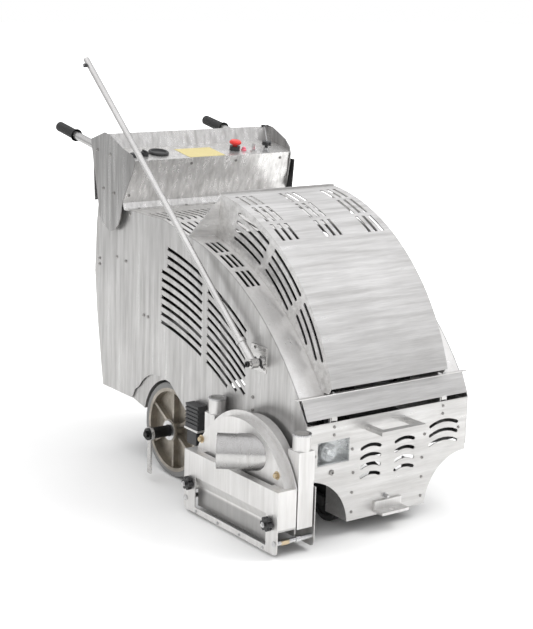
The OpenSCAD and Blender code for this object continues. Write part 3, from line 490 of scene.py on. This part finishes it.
def console_details():
    """Lamp, cap, throttle collar and blank label on the dash."""
    lathe("pilot_lamp", [(0, 0), (9, 0), (9, 3), (6.5, 4), (6.5, 8), (4.5, 11), (0, 12)],
          on_dash(145, 48), DASH_UP, PINK, "chassis")
    lathe("socket_cap", [(0, 0), (17, 0), (17, 3), (15, 5), (14, 8), (12, 9.5), (0, 10)],
          on_dash(-272, 52), DASH_UP, BLACK, "chassis")
    lathe("throttle_collar", [(6, 0), (14, 0), (14, 3), (10, 5), (9, 14), (6, 14), (6, 0)],
          on_dash(*THROTTLE), DASH_UP, BRIGHT, "chassis")
    label = bmesh.new()
    corners = [on_dash(x, back, 0.25) for x, back in ((-94, 4), (44, 4), (44, 100), (-94, 100))]
    sheet_into(label, corners, DASH_UP, 0.35)
    make("dash_label", label, LABEL, "chassis", smooth=False)


def ribbed_grips():
    """Rubber grips with a flange and moulded rings, in place of the plain CAD sleeves."""
    tilt = math.radians(9)
    direction = Vector((0, math.cos(tilt), math.sin(tilt)))
    profile = [(20.5, 0), (20.5, 4), (17.5, 6)]
    ring_out, ring_in, ring_pitch = 16.5, 15.2, 6.6
    for i in range(15):
        start = 8 + i * ring_pitch
        profile += [(ring_out, start), (ring_out, start + 3.6)]
        profile += [(ring_in, start + 4.4), (ring_in, start + 5.8)]
    profile += [(ring_out, 108), (ring_out, 114), (14.5, 117.4), (0, 118)]
    mesh = bmesh.new()
    for x in (-HANDLE_X, HANDLE_X):
        lathe_into(mesh, profile, at(x, *HANDLE_FOOT) + direction * GRIP_START * MM, direction)
    obj = make("ribbed_grips", mesh, RUBBER, "handles")
    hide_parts("grips")


def console_screws():
    """Screws along the top of the console's front wall, at its corner and on the deck strip."""
    rise = DASH_FRONT[1] - WALL_FOOT[1]
    run = WALL_FOOT[0] - DASH_FRONT[0]
    outward = Vector((0, -rise, -run)).normalized()
    height = 944
    y = WALL_FOOT[0] - (height - WALL_FOOT[1]) / rise * run
    mesh = bmesh.new()
    for x in (-86, 86, 264):
        button_screw_into(mesh, at(x, y, height), outward, 5)
    button_screw_into(mesh, at(-298, 254, 850), outward, 5)
    for x in (-266, -90):
        button_screw_into(mesh, at(x, *DECK_STRIP), UP, 5)
    make("console_screws", mesh, SCREW, "chassis")


def throttle_wire():
    """Thin wire from the throttle knob to a clip over the console's rear wall."""
    top = on_dash(*THROTTLE, 34)
    clip = at(303, WALL_TOP[0], WALL_TOP[1] + 3)
    leave = top + Vector((0.006, 0.02, 0.035))
    arrive = clip + Vector((-0.012, -0.03, -0.012))
    mesh = bmesh.new()
    sweep_into(mesh, bezier(top, leave, arrive, clip, 20), 1.4, 10)
    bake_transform(piece("throttle_wire", mesh, BRIGHT))
    hook = bmesh.new()
    box_into(hook, (297, WALL_TOP[0] - 4, WALL_TOP[1] - 3), (309, WALL_TOP[0] + 6, WALL_TOP[1] + 5), 1.5)
    make("wire_clip", hook, BLACK, "chassis")


def edge_guard():
    """Black rubber flap behind the front of the console's far end plate."""
    low, high = WALL_FOOT[1] + 10, DASH_FRONT[1] - 26
    outline = ((228, low), (281, low), (240, high), (218, high))
    mesh = bmesh.new()
    sheet_into(mesh, [at(CONSOLE_END + 0.7, y, z) for y, z in outline], -RIGHT, 3)
    make("edge_guard", mesh, RUBBER, "chassis", smooth=False)


# ---------------------------------------------------------------- head, wheels, body and pole


def head_details():
    """Bolts on the dome, screws along the skirt and the brass block on its front rod."""
    bolts = bmesh.new()
    for y, z in ((-312, 222), (-680, 219)):
        hex_bolt_into(bolts, at(DOME_X, y, z), RIGHT, 8, 9)
    make("guard_bolts", bolts, BRASS, "head")
    screws = bmesh.new()
    for y in (-340, -451, -557, -669):
        hex_bolt_into(screws, at(SKIRT_X, y, 15), RIGHT, 3.4, 2.5)
    make("skirt_screws", screws, BRIGHT, "skirt")
    block = bmesh.new()
    box_into(block, (-402, -729, 36), (-375, -716, 48), 1)
    make("rod_block", block, BRASS, "skirt")


def head_trim():
    """Rolled rims on the guide posts, and the hexagon stud ends in the star knobs."""
    height = 5.5
    profile = [(19.1, 0), (27, 0), (27.4, 1.5), (27.4, 3.5), (26.5, height), (19.1, height), (19.1, 0)]
    rims = bmesh.new()
    for y in (HEAD_Y - POST_SPAN, HEAD_Y + POST_SPAN):
        lathe_into(rims, profile, at(POST_X, y, POST_TOP - 5), UP)
    make("post_rims", rims, BRIGHT, "chassis")
    for side in ("front", "rear"):
        centre = middle("star_knob_" + side)
        centre.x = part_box("star_knob_" + side)[0].x
        stud = bmesh.new()
        hex_bolt_into(stud, centre, RIGHT, 5, 4)
        make(f"star_knob_{side}_stud", stud, BRIGHT, "knob_" + side)


def hub_washers():
    """Bright washers on the outer faces of both wheel hubs."""
    low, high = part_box("wheel_rims")
    ring = [(19.2, 0), (31, 0), (31, 2.5), (19.2, 2.5), (19.2, 0)]
    mesh = bmesh.new()
    for x, outward in ((low.x, RIGHT), (high.x, -RIGHT)):
        lathe_into(mesh, ring, Vector((x, AXLE.y, AXLE.z)), outward)
    make("hub_washers", mesh, BRIGHT, "drive_axle_set")


def fascia_screws():
    """Two hexagon screws on the hood's fascia."""
    mesh = bmesh.new()
    for x in (-185, 229):
        hex_bolt_into(mesh, at(x, -658, 415), UP, 4.5, 3)
    make("fascia_screws", mesh, BRIGHT, "bonnet")


def pole_details():
    """Socket screw in the end of the pole's pin, and the screws of its bracket."""
    lathe("pole_pin_screw", [(0, 0), (8.5, 0), (8.5, 6), (7.5, 7), (4.5, 7), (4.5, 3.5), (0, 3.5)],
          at(POLE_PIN_END, *POLE_PIVOT), RIGHT, DARK_STEEL, "chassis", 32)
    screws = bmesh.new()
    for y, z in ((32, 37), (-13, 37), (-14, -17)):
        spot = at(SIDE_X - 2.5, POLE_PIVOT[0] + y, POLE_PIVOT[1] + z)
        button_screw_into(screws, spot, RIGHT, 5)
    make("pole_bracket_screws", screws, SCREW, "chassis")


def tow_bolt():
    """Zinc bolt above the tow bracket."""
    mesh = bmesh.new()
    hex_bolt_into(mesh, at(-7, FRONT_Y, 94), FORWARD, 5.5, 15)
    make("tow_bolt", mesh, BRIGHT, "chassis")


# ---------------------------------------------------------------- floor, light and camera


def floor_paint():
    """White paint that glows for the camera further out, so that no horizon shows."""
    m = Nodes("floor_paint")
    tone = m.noise(1.5, detail=2)
    paint = m.ramp(tone, (0.90, 0.90, 0.89), (0.93, 0.93, 0.92))
    seen_paint = m.mix(paint, m.ramp(tone, grey(0.86), grey(0.88)))
    seen = m.for_camera()
    m.link(m.mix(paint, seen_paint, "MIX", seen), m.shader.inputs["Base Color"])
    reach = m.tree.nodes.new("ShaderNodeVectorMath")
    reach.operation = "LENGTH"
    m.link(m.coords, reach.inputs[0])
    glow = m.tree.nodes.new("ShaderNodeMapRange")
    for name, value in (("From Min", 0.75), ("From Max", 2.6), ("To Min", 0.0), ("To Max", 0.9)):
        glow.inputs[name].default_value = value
    m.link(reach.outputs["Value"], glow.inputs["Value"])
    seen_glow = m.tree.nodes.new("ShaderNodeMath")
    seen_glow.operation = "MULTIPLY"
    m.link(glow.outputs["Result"], seen_glow.inputs[0])
    m.link(seen, seen_glow.inputs[1])
    m.link(seen_glow.outputs["Value"], m.shader.inputs["Emission Strength"])
    m.set(Roughness=0.7, Specular_IOR_Level=0.2, Emission_Color=(1, 1, 1, 1))
    return m.material


def floor():
    """Plain floor, large enough to pass for endless."""
    data = bpy.data.meshes.new("floor")
    half = 30
    corners = [(-half, -half, 0), (half, -half, 0), (half, half, 0), (-half, half, 0)]
    data.from_pydata(corners, [], [(0, 1, 2, 3)])
    data.materials.append(floor_paint())
    obj = bpy.data.objects.new("floor", data)
    bpy.context.scene.collection.objects.link(obj)


def lamps():
    """One key light and two large soft ones, kept out of reflections."""
    centre = Vector((0, 0, 0.55))
    for name, place, size, watts in (
        ("key", (3.0, -1.6, 4.0), 2.6, 150),
        ("fill", (-4.0, -3.2, 2.8), 4.0, 60),
        ("top", (-0.4, 1.4, 4.6), 4.5, 110),
    ):
        light = bpy.data.lights.new(name, "AREA")
        light.size = size
        light.energy = watts
        lamp = bpy.data.objects.new(name, light)
        lamp.location = place
        lamp.visible_glossy = False
        lamp.rotation_euler = (centre - Vector(place)).to_track_quat("-Z", "Y").to_euler()
        bpy.context.scene.collection.objects.link(lamp)


def sky():
    """World light: grey near the horizon, bright overhead, plain white where the camera sees it."""
    world = bpy.data.worlds.new("studio")
    bpy.context.scene.world = world
    world.use_nodes = True
    tree = world.node_tree
    background = tree.nodes["Background"]
    background.inputs["Strength"].default_value = 1.0
    coords = tree.nodes.new("ShaderNodeTexCoord")
    parts = tree.nodes.new("ShaderNodeSeparateXYZ")
    tree.links.new(coords.outputs["Generated"], parts.inputs["Vector"])
    ramp = tree.nodes.new("ShaderNodeValToRGB")
    horizon, overhead = ramp.color_ramp.elements
    horizon.position = 0.0
    horizon.color = (0.42, 0.42, 0.43, 1)
    overhead.position = 0.72
    overhead.color = (1.02, 1.02, 1.04, 1)
    ramp.color_ramp.elements.new(0.22).color = (0.74, 0.74, 0.75, 1)
    tree.links.new(parts.outputs["Z"], ramp.inputs["Fac"])
    path = tree.nodes.new("ShaderNodeLightPath")
    blend = tree.nodes.new("ShaderNodeMix")
    blend.data_type = "RGBA"
    tree.links.new(path.outputs["Is Camera Ray"], blend.inputs["Factor"])
    tree.links.new(ramp.outputs["Color"], blend.inputs["A"])
    blend.inputs["B"].default_value = (1, 1, 1, 1)
    tree.links.new(blend.outputs["Result"], background.inputs["Color"])


def camera():
    """Looks at the machine's front right corner, slightly from above, with a small roll."""
    azimuth, elevation, roll = math.radians(-36.40), math.radians(12.99), math.radians(1.61)
    forward = Vector((-math.sin(azimuth) * math.cos(elevation),
                      math.cos(azimuth) * math.cos(elevation), -math.sin(elevation)))
    right = forward.cross(UP).normalized()
    up = right.cross(forward)
    rolled_right = right * math.cos(roll) + up * math.sin(roll)
    rolled_up = up * math.cos(roll) - right * math.sin(roll)
    data = bpy.data.cameras.new("camera")
    data.sensor_width = 36
    data.sensor_fit = "AUTO"
    data.lens = 87.06
    obj = bpy.data.objects.new("camera", data)
    turn = Matrix((rolled_right, rolled_up, -forward)).transposed().to_4x4()
    obj.matrix_world = Matrix.Translation(at(-2745.4, -3808.9, 1569.3)) @ turn
    bpy.context.scene.collection.objects.link(obj)
    bpy.context.scene.camera = obj



dress_frame()
console_details()
ribbed_grips()
head_details()
head_trim()
hub_washers()
fascia_screws()
pole_details()
console_screws()
throttle_wire()
tow_bolt()
edge_guard()
bpy.context.scene.view_settings.view_transform = "Standard"
sky()
floor()
lamps()
camera()
